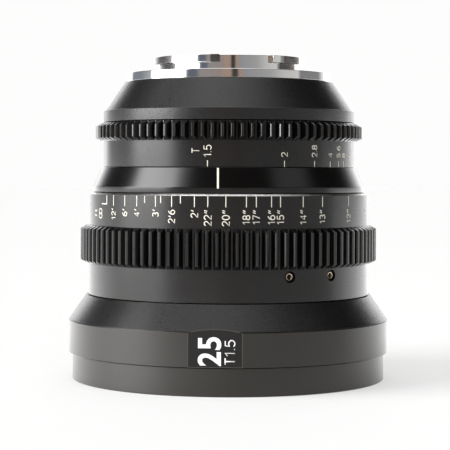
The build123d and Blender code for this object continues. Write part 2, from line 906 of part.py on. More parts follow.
def front_cell():
    """Tube that carries the front group and slides in the barrel."""
    front_bore = front_bore_radius
    land = cell_land_radius
    inner_bore = inner_bore_radius
    body = ring_of([
        (front_bore, cell_front_height),
        (cell_radius, cell_front_height),
        (cell_radius, cell_top),
        (inner_bore, cell_top),
        (inner_bore, cell_land_top),
        (land, cell_land_top),
        (land, front_spacer_top),
        (front_bore, front_spacer_top),
    ])
    for angle, height in follower_places():
        hole = roller_pin_diameter / 2 + seat_clearance
        body -= radial_rod(hole, front_bore, cell_radius + overrun, height, angle)
    return body


def front_retainer():
    """Threaded ring that holds the front glass, with a conical mouth."""
    outer = front_bore_radius - seat_clearance
    inner = outer - front_retainer_width
    bottom = cell_front_height
    top = cell_front_height + front_retainer_height
    fall = front_glass_sag - sag(inner, front_glass_edge, front_glass_sag)
    return ring_of([
        (inner + front_retainer_width / 2, bottom),
        (outer, bottom),
        (outer, top - end_gap / 2),
        (inner, top - fall - end_gap / 2),
        (inner, top - fall - end_gap),
    ])


def front_element():
    """Large front glass, curved towards the front on both faces."""
    return glass(
        front_glass_edge, front_glass_front, front_glass_sag, front_glass_edge,
        front_glass_back, front_glass_rear_sag, front_glass_rear_radius,
    )


def front_spacer():
    """Black tube between the front glass and the cell's land."""
    outer = front_bore_radius - seat_clearance
    return tube(outer, outer - front_spacer_wall, front_spacer_bottom, front_spacer_top)


def second_element():
    """Glass on the back of the cell's land, bulging both ways."""
    return glass(
        inner_glass_edge, second_glass_front, second_glass_sag, inner_glass_clear,
        second_glass_back, -second_glass_sag, inner_glass_clear,
    )


def middle_spacer():
    """Tube between the second and third glasses."""
    return tube(
        inner_glass_edge, inner_glass_edge - middle_spacer_wall,
        middle_spacer_bottom, middle_spacer_top,
    )


def third_element():
    """Glass next to the iris."""
    return glass(
        inner_glass_edge, third_glass_front, third_glass_sag, inner_glass_clear,
        third_glass_back, third_glass_back_sag, inner_glass_clear,
    )


def cell_retainer():
    """Threaded ring at the back of the sliding cell."""
    return tube(
        inner_glass_edge, inner_glass_edge - middle_spacer_wall,
        cell_retainer_bottom, cell_retainer_bottom + cell_retainer_height,
    )


# Fixed rear cell
rear_cell_top = mount_top - rear_cell_drop
rear_cell_radius = throat_radius - rear_cell_gap
rear_bore_radius = rear_cell_radius - rear_cell_wall
fourth_bore_radius = rear_bore_radius - fourth_bore_step
rear_cell_nose_radius = fourth_bore_radius + rear_cell_nose_wall
rear_cell_step = cell_flange_top + rear_cell_step_rise
nose_bottom = iris_lock_top - rear_cell_nose
fourth_seat = nose_bottom + ring_lip
fourth_back = fourth_seat + fourth_glass_edge
rear_retainer_bottom = rear_cell_top - rear_retainer_height
rear_glass_seat = rear_retainer_bottom - rear_glass_edge


def rear_cell():
    """Stepped tube that carries the rear group, flanged against the iris lock ring."""
    return ring_of([
        (fourth_bore_radius - ring_lip, nose_bottom),
        (rear_cell_nose_radius, nose_bottom),
        (rear_cell_nose_radius, iris_lock_top),
        (fixed_radius, iris_lock_top),
        (fixed_radius, cell_flange_top),
        (rear_cell_radius, cell_flange_top),
        (rear_cell_radius, rear_cell_top),
        (rear_bore_radius, rear_cell_top),
        (rear_bore_radius, rear_cell_step),
        (fourth_bore_radius, rear_cell_step),
        (fourth_bore_radius, fourth_seat),
        (fourth_bore_radius - ring_lip, fourth_seat),
    ])


def fourth_element():
    """First glass behind the iris."""
    edge = fourth_bore_radius - seat_clearance
    clear = fourth_bore_radius - ring_lip - glass_margin
    return glass(
        edge, fourth_seat + fourth_glass_sag, -fourth_glass_sag, clear,
        fourth_back + fourth_glass_sag, -fourth_glass_sag, clear,
    )


def rear_spacer():
    """Long black tube between the two rear glasses."""
    outer = rear_bore_radius - seat_clearance
    inner = fourth_bore_radius - ring_lip
    small = fourth_bore_radius - seat_clearance
    step = rear_cell_step + seat_clearance
    return ring_of([
        (inner, fourth_back),
        (small, fourth_back),
        (small, step),
        (outer, step),
        (outer, rear_glass_seat),
        (outer - ring_lip, rear_glass_seat),
    ])


def rear_element():
    """Rear glass, seen down the throat of the mount."""
    edge = rear_bore_radius - seat_clearance
    clear = edge - ring_lip - glass_margin
    return glass(
        edge, rear_glass_seat - rear_glass_sag, rear_glass_sag, clear,
        rear_retainer_bottom + rear_glass_back_sag, -rear_glass_back_sag, clear,
    )


def rear_retainer():
    """Threaded ring that holds the rear glass."""
    outer = rear_bore_radius - seat_clearance
    return tube(outer, outer - ring_lip, rear_retainer_bottom, rear_cell_top)


def rear_lock_ring():
    """Threaded ring that clamps the rear cell's flange in the barrel."""
    return tube(
        fixed_radius, fixed_radius - rear_lock_width,
        cell_flange_top, cell_flange_top + rear_lock_height,
    )


def build():
    """Write every sub-part."""
    write(front_ring(), "front_ring")
    write(front_baffle(), "front_baffle")
    write(front_housing(), "front_housing")
    write(housing_screws(), "housing_screws")
    write(main_barrel(), "main_barrel")
    write(focus_ring(), "focus_ring")
    write(focus_sleeve(), "focus_sleeve")
    write(focus_set_screws(), "focus_set_screws")
    write(index_ring(), "index_ring")
    write(iris_ring(), "iris_ring")
    write(iris_keys(), "iris_keys")
    write(iris_base(), "iris_base")
    write(iris_cam_ring(), "iris_cam_ring")
    write(iris_lock_ring(), "iris_lock_ring")
    for number in range(blade_count):
        write(iris_blade(number), "iris_blade_" + str(number + 1))
    write(drilled_rear_housing(), "rear_housing")
    write(bayonet_mount(), "bayonet_mount")
    write(mount_screws(), "mount_screws")
    write(mount_baffle(), "mount_baffle")
    write(front_cell(), "front_cell")
    write(front_retainer(), "front_retainer")
    write(front_element(), "front_element")
    write(front_spacer(), "front_spacer")
    write(second_element(), "second_element")
    write(middle_spacer(), "middle_spacer")
    write(third_element(), "third_element")
    write(cell_retainer(), "cell_retainer")
    write(follower_pins(), "follower_pins")
    write(follower_rollers(), "follower_rollers")
    write(rear_cell(), "rear_cell")
    write(fourth_element(), "fourth_element")
    write(rear_spacer(), "rear_spacer")
    write(rear_element(), "rear_element")
    write(rear_retainer(), "rear_retainer")
    write(rear_lock_ring(), "rear_lock_ring")


build()
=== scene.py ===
import math

import bmesh
import bpy
from mathutils import Matrix, Vector, geometry


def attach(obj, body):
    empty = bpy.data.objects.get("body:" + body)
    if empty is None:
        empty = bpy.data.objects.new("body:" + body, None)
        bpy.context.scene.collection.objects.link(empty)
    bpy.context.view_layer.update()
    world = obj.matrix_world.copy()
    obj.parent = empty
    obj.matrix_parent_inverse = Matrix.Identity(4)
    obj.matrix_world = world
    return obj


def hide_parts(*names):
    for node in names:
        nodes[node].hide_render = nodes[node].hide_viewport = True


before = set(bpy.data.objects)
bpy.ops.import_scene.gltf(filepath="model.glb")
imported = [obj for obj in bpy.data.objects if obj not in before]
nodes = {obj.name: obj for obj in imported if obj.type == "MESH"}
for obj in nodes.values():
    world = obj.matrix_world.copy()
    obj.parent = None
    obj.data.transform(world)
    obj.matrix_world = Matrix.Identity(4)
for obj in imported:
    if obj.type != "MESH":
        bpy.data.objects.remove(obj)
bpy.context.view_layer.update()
MM = 0.001


# The table the lens stands on: smooth white card that runs out to the pale studio wall. The
# lens sees it lit from the left and from behind, and the camera sees it even and pale.
def shader(name):
    """A new material and its node tree, with the plain surface shader in it."""
    material = bpy.data.materials.new(name)
    material.use_nodes = True
    tree = material.node_tree
    return material, tree, tree.nodes["Principled BSDF"]


paper, tree, surface = shader("white_card")
surface.inputs["Base Color"].default_value = (0.48, 0.48, 0.475, 1)
surface.inputs["Roughness"].default_value = 0.9
surface.inputs["Specular IOR Level"].default_value = 0.1
seen_card = tree.nodes.new("ShaderNodeBsdfDiffuse")
seen_card.inputs["Color"].default_value = (0.385, 0.385, 0.382, 1)
glow = tree.nodes.new("ShaderNodeEmission")
glow.inputs["Color"].default_value = (1, 1, 0.995, 1)
glow.inputs["Strength"].default_value = 0.53
ray = tree.nodes.new("ShaderNodeLightPath")
lift = tree.nodes.new("ShaderNodeMixShader")
both = tree.nodes.new("ShaderNodeAddShader")
tree.links.new(seen_card.outputs[0], both.inputs[0])
tree.links.new(glow.outputs[0], both.inputs[1])
tree.links.new(ray.outputs["Is Camera Ray"], lift.inputs[0])
place = tree.nodes.new("ShaderNodeTexCoord")
across = tree.nodes.new("ShaderNodeSeparateXYZ")
away = tree.nodes.new("ShaderNodeVectorMath")
away.operation = "LENGTH"
tree.links.new(place.outputs["Object"], across.inputs[0])
tree.links.new(place.outputs["Object"], away.inputs[0])

# Shares of the glow, by how far left, how near the lens and how far back the card lies
shares = []
for source, start, end, low, high in [
    (across.outputs["X"], 0.0, -0.05, 0.3, 1.1),
    (away.outputs["Value"], 0.18, 0.35, 1.0, 0.0),
    (across.outputs["Y"], -0.05, 0.09, 0.0, 1.0),
]:
    share = tree.nodes.new("ShaderNodeMapRange")
    for slot, value in zip(("From Min", "From Max", "To Min", "To Max"), (start, end, low, high)):
        share.inputs[slot].default_value = value
    tree.links.new(source, share.inputs["Value"])
    shares.append(share.outputs[0])
leftward, nearby, backward = shares
near_glow = tree.nodes.new("ShaderNodeMath")
near_glow.operation = "MULTIPLY"
tree.links.new(leftward, near_glow.inputs[0])
tree.links.new(nearby, near_glow.inputs[1])
card_glow = tree.nodes.new("ShaderNodeMix")
near_socket, far_socket = card_glow.inputs[2], card_glow.inputs[3]
far_socket.default_value = 2.0
tree.links.new(backward, card_glow.inputs[0])
tree.links.new(near_glow.outputs[0], near_socket)
back_glow = tree.nodes.new("ShaderNodeEmission")
lit_card = tree.nodes.new("ShaderNodeAddShader")
tree.links.new(card_glow.outputs[0], back_glow.inputs["Strength"])
tree.links.new(surface.outputs[0], lit_card.inputs[0])
tree.links.new(back_glow.outputs[0], lit_card.inputs[1])
tree.links.new(lit_card.outputs[0], lift.inputs[1])
tree.links.new(both.outputs[0], lift.inputs[2])
tree.links.new(lift.outputs[0], tree.nodes["Material Output"].inputs["Surface"])

work = bmesh.new()
bmesh.ops.create_circle(work, cap_ends=True, segments=96, radius=6.0)
floor_mesh = bpy.data.meshes.new("table_top")
work.to_mesh(floor_mesh)
work.free()
table_top = bpy.data.objects.new("table_top", floor_mesh)
table_top.data.materials.append(paper)
bpy.context.scene.collection.objects.link(table_top)


# The studio round the lens: a bright wall behind, a large soft lamp high on the left, a weak
# one on the right, one overhead, and the dim side of the room behind the camera.
world = bpy.data.worlds.new("studio")
bpy.context.scene.world = world
world.use_nodes = True
tree = world.node_tree
tree.nodes.clear()


def maths(operation, first, second=None):
    """One sum on values or sockets of the studio."""
    node = tree.nodes.new("ShaderNodeMath")
    node.operation = operation
    for slot, value in enumerate((first, second)):
        if isinstance(value, (int, float)):
            node.inputs[slot].default_value = value
        elif value is not None:
            tree.links.new(value, node.inputs[slot])
    return node.outputs[0]


def fade(source, start, end):
    """Smooth rise from 0 at start to 1 at end; a start above the end falls instead."""
    node = tree.nodes.new("ShaderNodeMapRange")
    node.interpolation_type = "SMOOTHSTEP"
    node.inputs["From Min"].default_value = min(start, end)
    node.inputs["From Max"].default_value = max(start, end)
    node.inputs["To Min"].default_value = 0.0 if start < end else 1.0
    node.inputs["To Max"].default_value = 1.0 if start < end else 0.0
    tree.links.new(source, node.inputs["Value"])
    return node.outputs[0]


where = tree.nodes.new("ShaderNodeTexCoord")
split = tree.nodes.new("ShaderNodeSeparateXYZ")
tree.links.new(where.outputs["Generated"], split.inputs[0])
toward_camera = maths("MULTIPLY", split.outputs["Y"], -1.0)
heading = maths("DEGREES", maths("ARCTAN2", split.outputs["X"], toward_camera))
lift_angle = maths("DEGREES", maths("ARCSINE", split.outputs["Z"]))

# The room at eye level, by bearing from the lens with 0 at the camera
ramp = tree.nodes.new("ShaderNodeValToRGB")
tree.links.new(maths("DIVIDE", maths("ADD", heading, 180.0), 360.0), ramp.inputs["Fac"])
brightest = 3.2
room = [
    (-180, (1.3, 1.3, 1.3)), (-165, (1.6, 1.6, 1.6)), (-155, (3.2, 3.2, 3.2)),
    (-150, (2.6, 2.6, 2.6)), (-138, (0.24, 0.26, 0.31)), (-118, (0.22, 0.24, 0.28)),
    (-100, (0.42, 0.44, 0.47)), (-90, (0.6, 0.6, 0.6)), (-50, (0.5, 0.5, 0.5)),
    (-46, (0.10, 0.12, 0.17)), (-37, (0.12, 0.14, 0.18)), (-33, (0.30, 0.28, 0.27)),
    (-10, (0.31, 0.26, 0.24)), (-7, (0.38, 0.28, 0.22)), (2, (0.38, 0.28, 0.22)),
    (3.6, (0.03, 0.03, 0.03)), (9, (0.04, 0.04, 0.04)), (10.5, (0.38, 0.28, 0.23)),
    (15, (0.35, 0.28, 0.24)), (17, (0.30, 0.30, 0.32)), (46, (0.38, 0.38, 0.38)),
    (62, (0.55, 0.55, 0.54)), (83, (0.66, 0.66, 0.65)), (87, (0.22, 0.22, 0.23)),
    (120, (0.24, 0.24, 0.25)), (132, (1.0, 1.0, 1.0)), (148, (2.6, 2.6, 2.6)),
    (155, (3.2, 3.2, 3.2)), (165, (1.6, 1.6, 1.6)), (180, (1.3, 1.3, 1.3)),
]
while len(ramp.color_ramp.elements) < len(room):
    ramp.color_ramp.elements.new(0.5)
for stop, (bearing, colour) in zip(ramp.color_ramp.elements, room):
    stop.position = (bearing + 180) / 360
    stop.color = (*[value / brightest for value in colour], 1)
low_ring = maths("MULTIPLY", fade(lift_angle, 22, 12), brightest)
ring = tree.nodes.new("ShaderNodeVectorMath")
ring.operation = "SCALE"
tree.links.new(ramp.outputs["Color"], ring.inputs[0])
tree.links.new(low_ring, ring.inputs["Scale"])

# The lamps and the bright wall, each between two bearings and two heights with soft edges
total = ring.outputs[0]
behind = maths("ABSOLUTE", heading)
for source, left, right, low, high, soft, strength in [
    (heading, -95, -52, -20, 43, 8, 9.0),
    (heading, -62, -42, 36, 48, 10, 1.6),
    (heading, 44, 82, 32, 46, 12, 0.7),
    (behind, 156, 220, 14, 42, 18, 2.2),
]:
    edge = soft / 2
    rise = fade(source, left - edge, left + edge)
    box = maths("MULTIPLY", rise, fade(source, right + edge, right - edge))
    rise = fade(lift_angle, low - edge, low + edge)
    band = maths("MULTIPLY", rise, fade(lift_angle, high + edge, high - edge))
    added = tree.nodes.new("ShaderNodeVectorMath")
    tree.links.new(total, added.inputs[0])
    tree.links.new(maths("MULTIPLY", maths("MULTIPLY", box, band), strength), added.inputs[1])
    total = added.outputs[0]
left_bias = maths("SUBTRACT", 2.0, maths("MULTIPLY", split.outputs["X"], 1.6))
top = maths("ADD", maths("MULTIPLY", fade(lift_angle, 54, 72), left_bias), 0.02)
added = tree.nodes.new("ShaderNodeVectorMath")
tree.links.new(total, added.inputs[0])
tree.links.new(top, added.inputs[1])
light = tree.nodes.new("ShaderNodeBackground")
tree.links.new(added.outputs[0], light.inputs["Color"])
light.inputs["Strength"].default_value = 1.0
wall = tree.nodes.new("ShaderNodeBackground")
wall.inputs["Color"].default_value = (0.98, 0.98, 0.977, 1)
wall.inputs["Strength"].default_value = 1.0
ray = tree.nodes.new("ShaderNodeLightPath")
direct = maths("MAXIMUM", ray.outputs["Is Camera Ray"], ray.outputs["Is Transmission Ray"])
choose = tree.nodes.new("ShaderNodeMixShader")
tree.links.new(direct, choose.inputs[0])
tree.links.new(light.outputs[0], choose.inputs[1])
tree.links.new(wall.outputs[0], choose.inputs[2])
sky = tree.nodes.new("ShaderNodeOutputWorld")
tree.links.new(choose.outputs[0], sky.inputs["Surface"])

fill_data = bpy.data.lights.new("front_fill", "AREA")
fill_data.shape = "SQUARE"
fill_data.size = 1.0
fill_data.energy = 7.0
fill = bpy.data.objects.new("front_fill", fill_data)
fill.location = (0.15, -1.25, 0.45)
fill.rotation_euler = (Vector((0, 0, 0.04)) - fill.location).to_track_quat("-Z", "Y").to_euler()
fill.visible_glossy = False
bpy.context.scene.collection.objects.link(fill)

camera_data = bpy.data.cameras.new("camera")
camera_data.sensor_width = 36.0
camera_data.lens = 129.6
camera_data.clip_start = 0.02
camera_data.shift_y = -0.1163
camera = bpy.data.objects.new("camera", camera_data)
stand, aim, roll = math.radians(-0.42), math.radians(0.127), math.radians(-0.22)
distance, camera_height = 0.445, 0.0559
camera.location = (distance * math.sin(stand), -distance * math.cos(stand), camera_height)
camera.rotation_euler = (math.radians(90), roll, stand + aim)
bpy.context.scene.collection.objects.link(camera)
bpy.context.scene.camera = camera
bpy.context.scene.view_settings.view_transform = "Standard"


# Front ring: the 85 mm clamp ring at the foot of the lens, turned from aluminium and black
# anodised. The filter thread is cut inside it, and its spigot screws into the housing.
def turned(name, outline, edge=0.12, steps=256):
    """A ring turned on the optical axis, with the edges of its outline broken."""
    work = bmesh.new()
    work.faces.new([work.verts.new((radius * MM, 0, height * MM)) for radius, height in outline])
    if edge:
        soften(work, work.verts[:], edge, "VERTICES")
    bmesh.ops.delete(work, geom=work.faces[:], context="FACES_ONLY")
    spin(work, steps, merge=True)
    bmesh.ops.recalc_face_normals(work, faces=work.faces)
    return placed(name, work)


def soften(work, geom, width, affect="EDGES"):
    """Break edges, or the corners of an outline, with a small round."""
    bmesh.ops.bevel(
        work, geom=geom, offset=width * MM, offset_type="OFFSET", segments=2, profile=0.5,
        affect=affect, clamp_overlap=True, material=-1,
    )


def spin(work, steps, turn=2 * math.pi, merge=False, copies=False):
    """Sweep all of a mesh round the optical axis, or set copies of it round that axis."""
    bmesh.ops.spin(
        work, geom=work.verts[:] + work.edges[:] + work.faces[:], cent=(0, 0, 0), axis=(0, 0, 1),
        angle=turn, steps=steps, use_merge=merge, use_duplicate=copies,
    )


def placed(name, work, smooth=True):
    """Put a finished mesh in the scene, with even shading on its flats."""
    mesh = bpy.data.meshes.new(name)
    work.to_mesh(mesh)
    work.free()
    if smooth:
        mesh.shade_smooth()
        mesh.set_sharp_from_angle(angle=math.radians(50))
    piece = bpy.data.objects.new(name, mesh)
    bpy.context.scene.collection.objects.link(piece)
    if smooth:
        even = piece.modifiers.new("even_shading", "WEIGHTED_NORMAL")
        even.keep_sharp = True
    return piece


def finish(piece, material, body, slot, *replaced):
    """Give a piece its material, its body and the nodes that it stands for."""
    piece.data.materials.append(material)
    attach(piece, body)
    if replaced:
        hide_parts(*replaced)


def add(tree, kind, **values):
    """A node with some of its settings."""
    node = tree.nodes.new(kind)
    for key, value in values.items():
        setattr(node, key, value)
    return node


def axial(tree):
    """Radius and height of a point, for marks that a lathe leaves all the way round."""
    where = add(tree, "ShaderNodeTexCoord")
    flat = add(tree, "ShaderNodeVectorMath", operation="MULTIPLY")
    flat.inputs[1].default_value = (1, 1, 0)
    tree.links.new(where.outputs["Object"], flat.inputs[0])
    radius = add(tree, "ShaderNodeVectorMath", operation="LENGTH")
    tree.links.new(flat.outputs[0], radius.inputs[0])
    split = add(tree, "ShaderNodeSeparateXYZ")
    tree.links.new(where.outputs["Object"], split.inputs[0])
    join = add(tree, "ShaderNodeCombineXYZ")
    tree.links.new(radius.outputs["Value"], join.inputs["X"])
    tree.links.new(split.outputs["Z"], join.inputs["Z"])
    return where.outputs["Object"], join.outputs[0]


def metal(name, colour, roughness, metallic=0.0, grain=0.0, grain_size=0.12, turning=0.0,
          turning_size=0.08, patches=0.05, specular=0.5, speckle=0.0):
    """Turned metal: blasted grain, lathe lines and slow changes of gloss."""
    material, tree, surface = shader(name)
    surface.inputs["Metallic"].default_value = metallic
    surface.inputs["Specular IOR Level"].default_value = specular
    everywhere, round_axis = axial(tree)
    slow = add(tree, "ShaderNodeTexNoise")
    slow.inputs["Scale"].default_value = 90.0
    slow.inputs["Detail"].default_value = 4.0
    tree.links.new(everywhere, slow.inputs["Vector"])
    gloss = add(tree, "ShaderNodeMapRange")
    gloss.inputs["To Min"].default_value = roughness - patches
    gloss.inputs["To Max"].default_value = roughness + patches
    tree.links.new(slow.outputs["Fac"], gloss.inputs["Value"])
    gloss = gloss.outputs[0]
    if speckle:
        beads = add(tree, "ShaderNodeTexNoise")
        beads.inputs["Scale"].default_value = 1 / (0.3 * MM)
        beads.inputs["Detail"].default_value = 1.0
        tree.links.new(everywhere, beads.inputs["Vector"])
        uneven = add(tree, "ShaderNodeMath", operation="MULTIPLY_ADD")
        uneven.inputs[1].default_value = speckle
        tree.links.new(beads.outputs["Fac"], uneven.inputs[0])
        tree.links.new(gloss, uneven.inputs[2])
        gloss = uneven.outputs[0]
    tree.links.new(gloss, surface.inputs["Roughness"])
    fine = add(tree, "ShaderNodeTexNoise")
    fine.inputs["Scale"].default_value = 1 / (grain_size * MM)
    fine.inputs["Detail"].default_value = 2.0
    tree.links.new(everywhere, fine.inputs["Vector"])
    shade = add(tree, "ShaderNodeMix", data_type="RGBA")
    darker, paler = shade.inputs[6], shade.inputs[7]
    darker.default_value = (*[value * 0.8 for value in colour], 1)
    paler.default_value = (*[min(1.0, value * 1.2) for value in colour], 1)
    tree.links.new(fine.outputs["Fac"], shade.inputs[0])
    tree.links.new(shade.outputs[2], surface.inputs["Base Color"])
    last = None
    if turning:
        lines = add(tree, "ShaderNodeTexNoise")
        lines.inputs["Scale"].default_value = 1 / (turning_size * MM)
        lines.inputs["Detail"].default_value = 1.0
        tree.links.new(round_axis, lines.inputs["Vector"])
        cut = add(tree, "ShaderNodeBump")
        cut.inputs["Strength"].default_value = turning
        cut.inputs["Distance"].default_value = 0.01 * MM
        tree.links.new(lines.outputs["Fac"], cut.inputs["Height"])
        last = cut
    if grain:
        pit = add(tree, "ShaderNodeBump")
        pit.inputs["Strength"].default_value = grain
        pit.inputs["Distance"].default_value = 0.12 * grain_size * MM
        tree.links.new(fine.outputs["Fac"], pit.inputs["Height"])
        if last:
            tree.links.new(last.outputs[0], pit.inputs["Normal"])
        last = pit
    if last:
        tree.links.new(last.outputs[0], surface.inputs["Normal"])
    return material


anodised = metal("black_anodised", (0.0040, 0.0031, 0.0027), 0.27, turning=0.25, grain=0.15)
warm_black = metal("black_warm", (0.016, 0.0138, 0.0108), 0.31, turning=0.2, grain=0.2,
                   specular=0.58)
blasted = metal("black_blasted", (0.0060, 0.0056, 0.0054), 0.17, grain=1.0, grain_size=0.24,
                specular=0.56, speckle=0.28)
front_ring = turned("clamp_ring", [
    (41.6, 0), (42.3, 0), (42.5, 0.25), (42.5, 7.2), (40.8, 7.2), (40.8, 9.6), (39.6, 9.6),
    (39.6, 5.1), (41.0, 5.1), (41.0, 0.6),
])
finish(front_ring, warm_black, "root", "black_anodised", "front_ring")
pitch, thread_root, thread_crest = 0.75, 40.98, 40.55
thread_outline = [(thread_root, pitch)]
for turn in range(5):
    start = pitch + pitch * turn
    thread_outline += [
        (thread_root, start + 0.1), (thread_crest, start + 0.34), (thread_crest, start + 0.44),
        (thread_root, start + 0.68),
    ]
thread_outline += [(thread_root, 4.6), (40.999, 4.6), (40.999, pitch)]
thread = turned("filter_thread", thread_outline, edge=0)
finish(thread, anodised, "root", "black_anodised")


# Front baffle: the stepped black ring round the front glass, turned from aluminium and pressed
# into the front ring. Its steps keep stray light off the glass.
soot = metal("soot_black", (0.010, 0.010, 0.0105), 0.62, grain=0.5, grain_size=0.1, specular=0.3)
steps = []
rim, tread, rise = 39.55, 1.2312, 0.4
for step in range(8):
    height = 5.6 + step * rise
    steps += [(rim - step * tread, height), (rim - (step + 1) * tread, height)]
front_baffle = turned("front_baffle_steps", [(29.7, 9.6), (rim, 9.6)] + steps, edge=0.05)
finish(front_baffle, soot, "root", "matt_black", "front_baffle")


# Front housing: wide band and cone that carry the front ring, turned, then milled flat on the
# index side for the label, and bead blasted before black anodising.
barrel_radius = 31.65
housing = turned("front_housing_shell", [
    (40.85, 7.4), (43.45, 7.4), (43.45, 16.06), (43.25, 16.06), (43.25, 16.2), (43.4, 16.27),
    (38.8, 22.8), (36.4, 22.8), (41.05, 16.2), (41.05, 12.1), (barrel_radius, 12.1),
    (barrel_radius, 9.6), (40.85, 9.6),
], edge=0.1, steps=360)
index_bearing = -4.7
label_turn = math.radians(index_bearing)
label_out = Vector((math.sin(label_turn), -math.cos(label_turn), 0))
label_side = Vector((math.cos(label_turn), math.sin(label_turn), 0))
flat_at = 42.9 * MM
work = bmesh.new()
work.from_mesh(housing.data)
cut = bmesh.ops.bisect_plane(
    work, geom=work.verts[:] + work.edges[:] + work.faces[:], plane_co=label_out * flat_at,
    plane_no=label_out, clear_outer=True,
)
rim = [edge for edge in cut["geom_cut"] if isinstance(edge, bmesh.types.BMEdge)]
flat_face = bmesh.ops.contextual_create(work, geom=rim)["faces"][0]
flat_outline = [vert.co.copy() for vert in flat_face.verts]
bmesh.ops.recalc_face_normals(work, faces=work.faces)
work.to_mesh(housing.data)
work.free()
housing.data.set_sharp_from_angle(angle=math.radians(22))
finish(housing, blasted, "root", "black_anodised", "front_housing")
milled = metal("milled_edge", (0.052, 0.048, 0.041), 0.34, specular=0.56)
housing.data.materials.append(warm_black)
housing.data.materials.append(milled)
for face in housing.data.polygons:
    if face.normal.dot(label_out) > 0.9999:
        face.material_index = 2
    elif face.center.z < 16.1 * MM:
        face.material_index = 1


# Label: thin black plate glued into the milled flat, with the focal length and the widest
# T-stop printed on it in white.
print_black = metal("label_black", (0.012, 0.011, 0.011), 0.24, patches=0.03, specular=0.24)
print_white = metal("label_white", (0.93, 0.93, 0.93), 0.45, patches=0.03, specular=0.3)
work = bmesh.new()
around = geometry.convex_hull_2d([(corner.dot(label_side), corner.z) for corner in flat_outline])
work.faces.new([work.verts.new(flat_outline[index]) for index in around])
bmesh.ops.dissolve_limit(
    work, angle_limit=math.radians(0.4), verts=work.verts[:], edges=work.edges[:],
)
bmesh.ops.recalc_face_normals(work, faces=work.faces)
plate_face = work.faces[:][0]
if plate_face.normal.dot(label_out) < 0:
    bmesh.ops.reverse_faces(work, faces=[plate_face])
milled_border = 0.17 * MM
inset = bmesh.ops.inset_individual(
    work, faces=[plate_face], thickness=milled_border, use_even_offset=True,
)
bmesh.ops.delete(work, geom=inset["faces"], context="FACES")
plate_face = work.faces[:][0]
grown = bmesh.ops.extrude_face_region(work, geom=[plate_face])
moved = [item for item in grown["geom"] if isinstance(item, bmesh.types.BMVert)]
plate_thickness = 0.015 * MM
bmesh.ops.translate(work, verts=moved, vec=label_out * plate_thickness)
bmesh.ops.recalc_face_normals(work, faces=work.faces)
plate = placed("label_plate", work)
finish(plate, print_black, "root", "black_anodised")


def lettering(words, size, weight=0.0, spacing=1.0):
    """Flat printed letters as a mesh, from (0, 0) to their own width and height, in metres."""
    curve = bpy.data.curves.new("letters", "FONT")
    curve.space_character = spacing
    curve.body = words
    curve.size = size * MM
    curve.offset = weight * MM
    return flat_mesh(curve)


def as_mesh(piece):
    """The mesh of an object as its curve or its modifiers shape it."""
    bpy.context.view_layer.update()
    graph = bpy.context.evaluated_depsgraph_get()
    return bpy.data.meshes.new_from_object(piece.evaluated_get(graph))


def flat_mesh(curve):
    """Turn a text or stroke curve into a mesh that starts at (0, 0)."""
    holder = bpy.data.objects.new("letters", curve)
    bpy.context.scene.collection.objects.link(holder)
    mesh = as_mesh(holder)
    bpy.data.objects.remove(holder)
    bpy.data.curves.remove(curve)
    work = bmesh.new()
    work.from_mesh(mesh)
    bpy.data.meshes.remove(mesh)
    bmesh.ops.remove_doubles(work, verts=work.verts, dist=0.001 * MM)
    low = Vector([min(vert.co[axis] for vert in work.verts) for axis in range(2)] + [0])
    bmesh.ops.translate(work, verts=work.verts, vec=-low)
    return work


def bow(x, y, wide, tall, first, last, count=12):
    """Points along part of an oval, for the round strokes of a numeral."""
    turns = [math.radians(first + (last - first) * step / count) for step in range(count + 1)]
    return [(x + wide * math.cos(turn), y + tall * math.sin(turn)) for turn in turns]


# Single-stroke numerals as an engraving cutter draws them: their width, then their strokes
strokes = {
    "0": (0.58, [bow(0.29, 0.5, 0.29, 0.5, 90, 450, 20)]),
    "1": (0.34, [[(0.0, 0.76), (0.24, 1.0), (0.24, 0.0)]]),
    "2": (0.58, [bow(0.29, 0.71, 0.28, 0.29, 168, -32) + [(0.0, 0.0), (0.58, 0.0)]]),
    "3": (0.56, [bow(0.27, 0.75, 0.25, 0.25, 150, -82) + bow(0.27, 0.26, 0.29, 0.26, 82, -150)]),
    "4": (0.62, [[(0.45, 0.0), (0.45, 1.0), (0.0, 0.3), (0.62, 0.3)]]),
    "5": (0.58, [[(0.53, 1.0), (0.1, 1.0), (0.05, 0.55)] + bow(0.28, 0.32, 0.3, 0.32, 125, -145)]),
    "6": (0.58, [
        bow(0.29, 0.31, 0.29, 0.31, 180, 540, 18), bow(0.55, 0.33, 0.55, 0.67, 97, 180, 8),
    ]),
    "7": (0.56, [[(0.0, 1.0), (0.56, 1.0), (0.18, 0.0)]]),
    "8": (0.58, [
        bow(0.29, 0.75, 0.24, 0.25, -90, 270, 16), bow(0.29, 0.25, 0.29, 0.25, 90, 450, 16),
    ]),
    "T": (0.60, [[(0.0, 1.0), (0.6, 1.0)], [(0.3, 1.0), (0.3, 0.0)]]),
    "f": (0.40, [
        bow(0.32, 0.82, 0.16, 0.18, 60, 180, 5) + [(0.16, 0.0)], [(0.0, 0.62), (0.36, 0.62)],
    ]),
    "t": (0.40, [
        [(0.15, 0.95)] + bow(0.3, 0.15, 0.15, 0.15, 180, 290, 5), [(0.0, 0.64), (0.36, 0.64)],
    ]),
    ".": (0.08, [[(0.04, 0.0), (0.04, 0.07)]]),
    "'": (0.16, [[(0.16, 1.0), (0.02, 0.62)]]),
    '"': (0.42, [[(0.16, 1.0), (0.02, 0.62)], [(0.42, 1.0), (0.28, 0.62)]]),
    "∞": (1.16, [bow(0.29, 0.5, 0.29, 0.42, 0, 360, 18), bow(0.87, 0.5, 0.29, 0.42, 180, 540, 18)]),
}


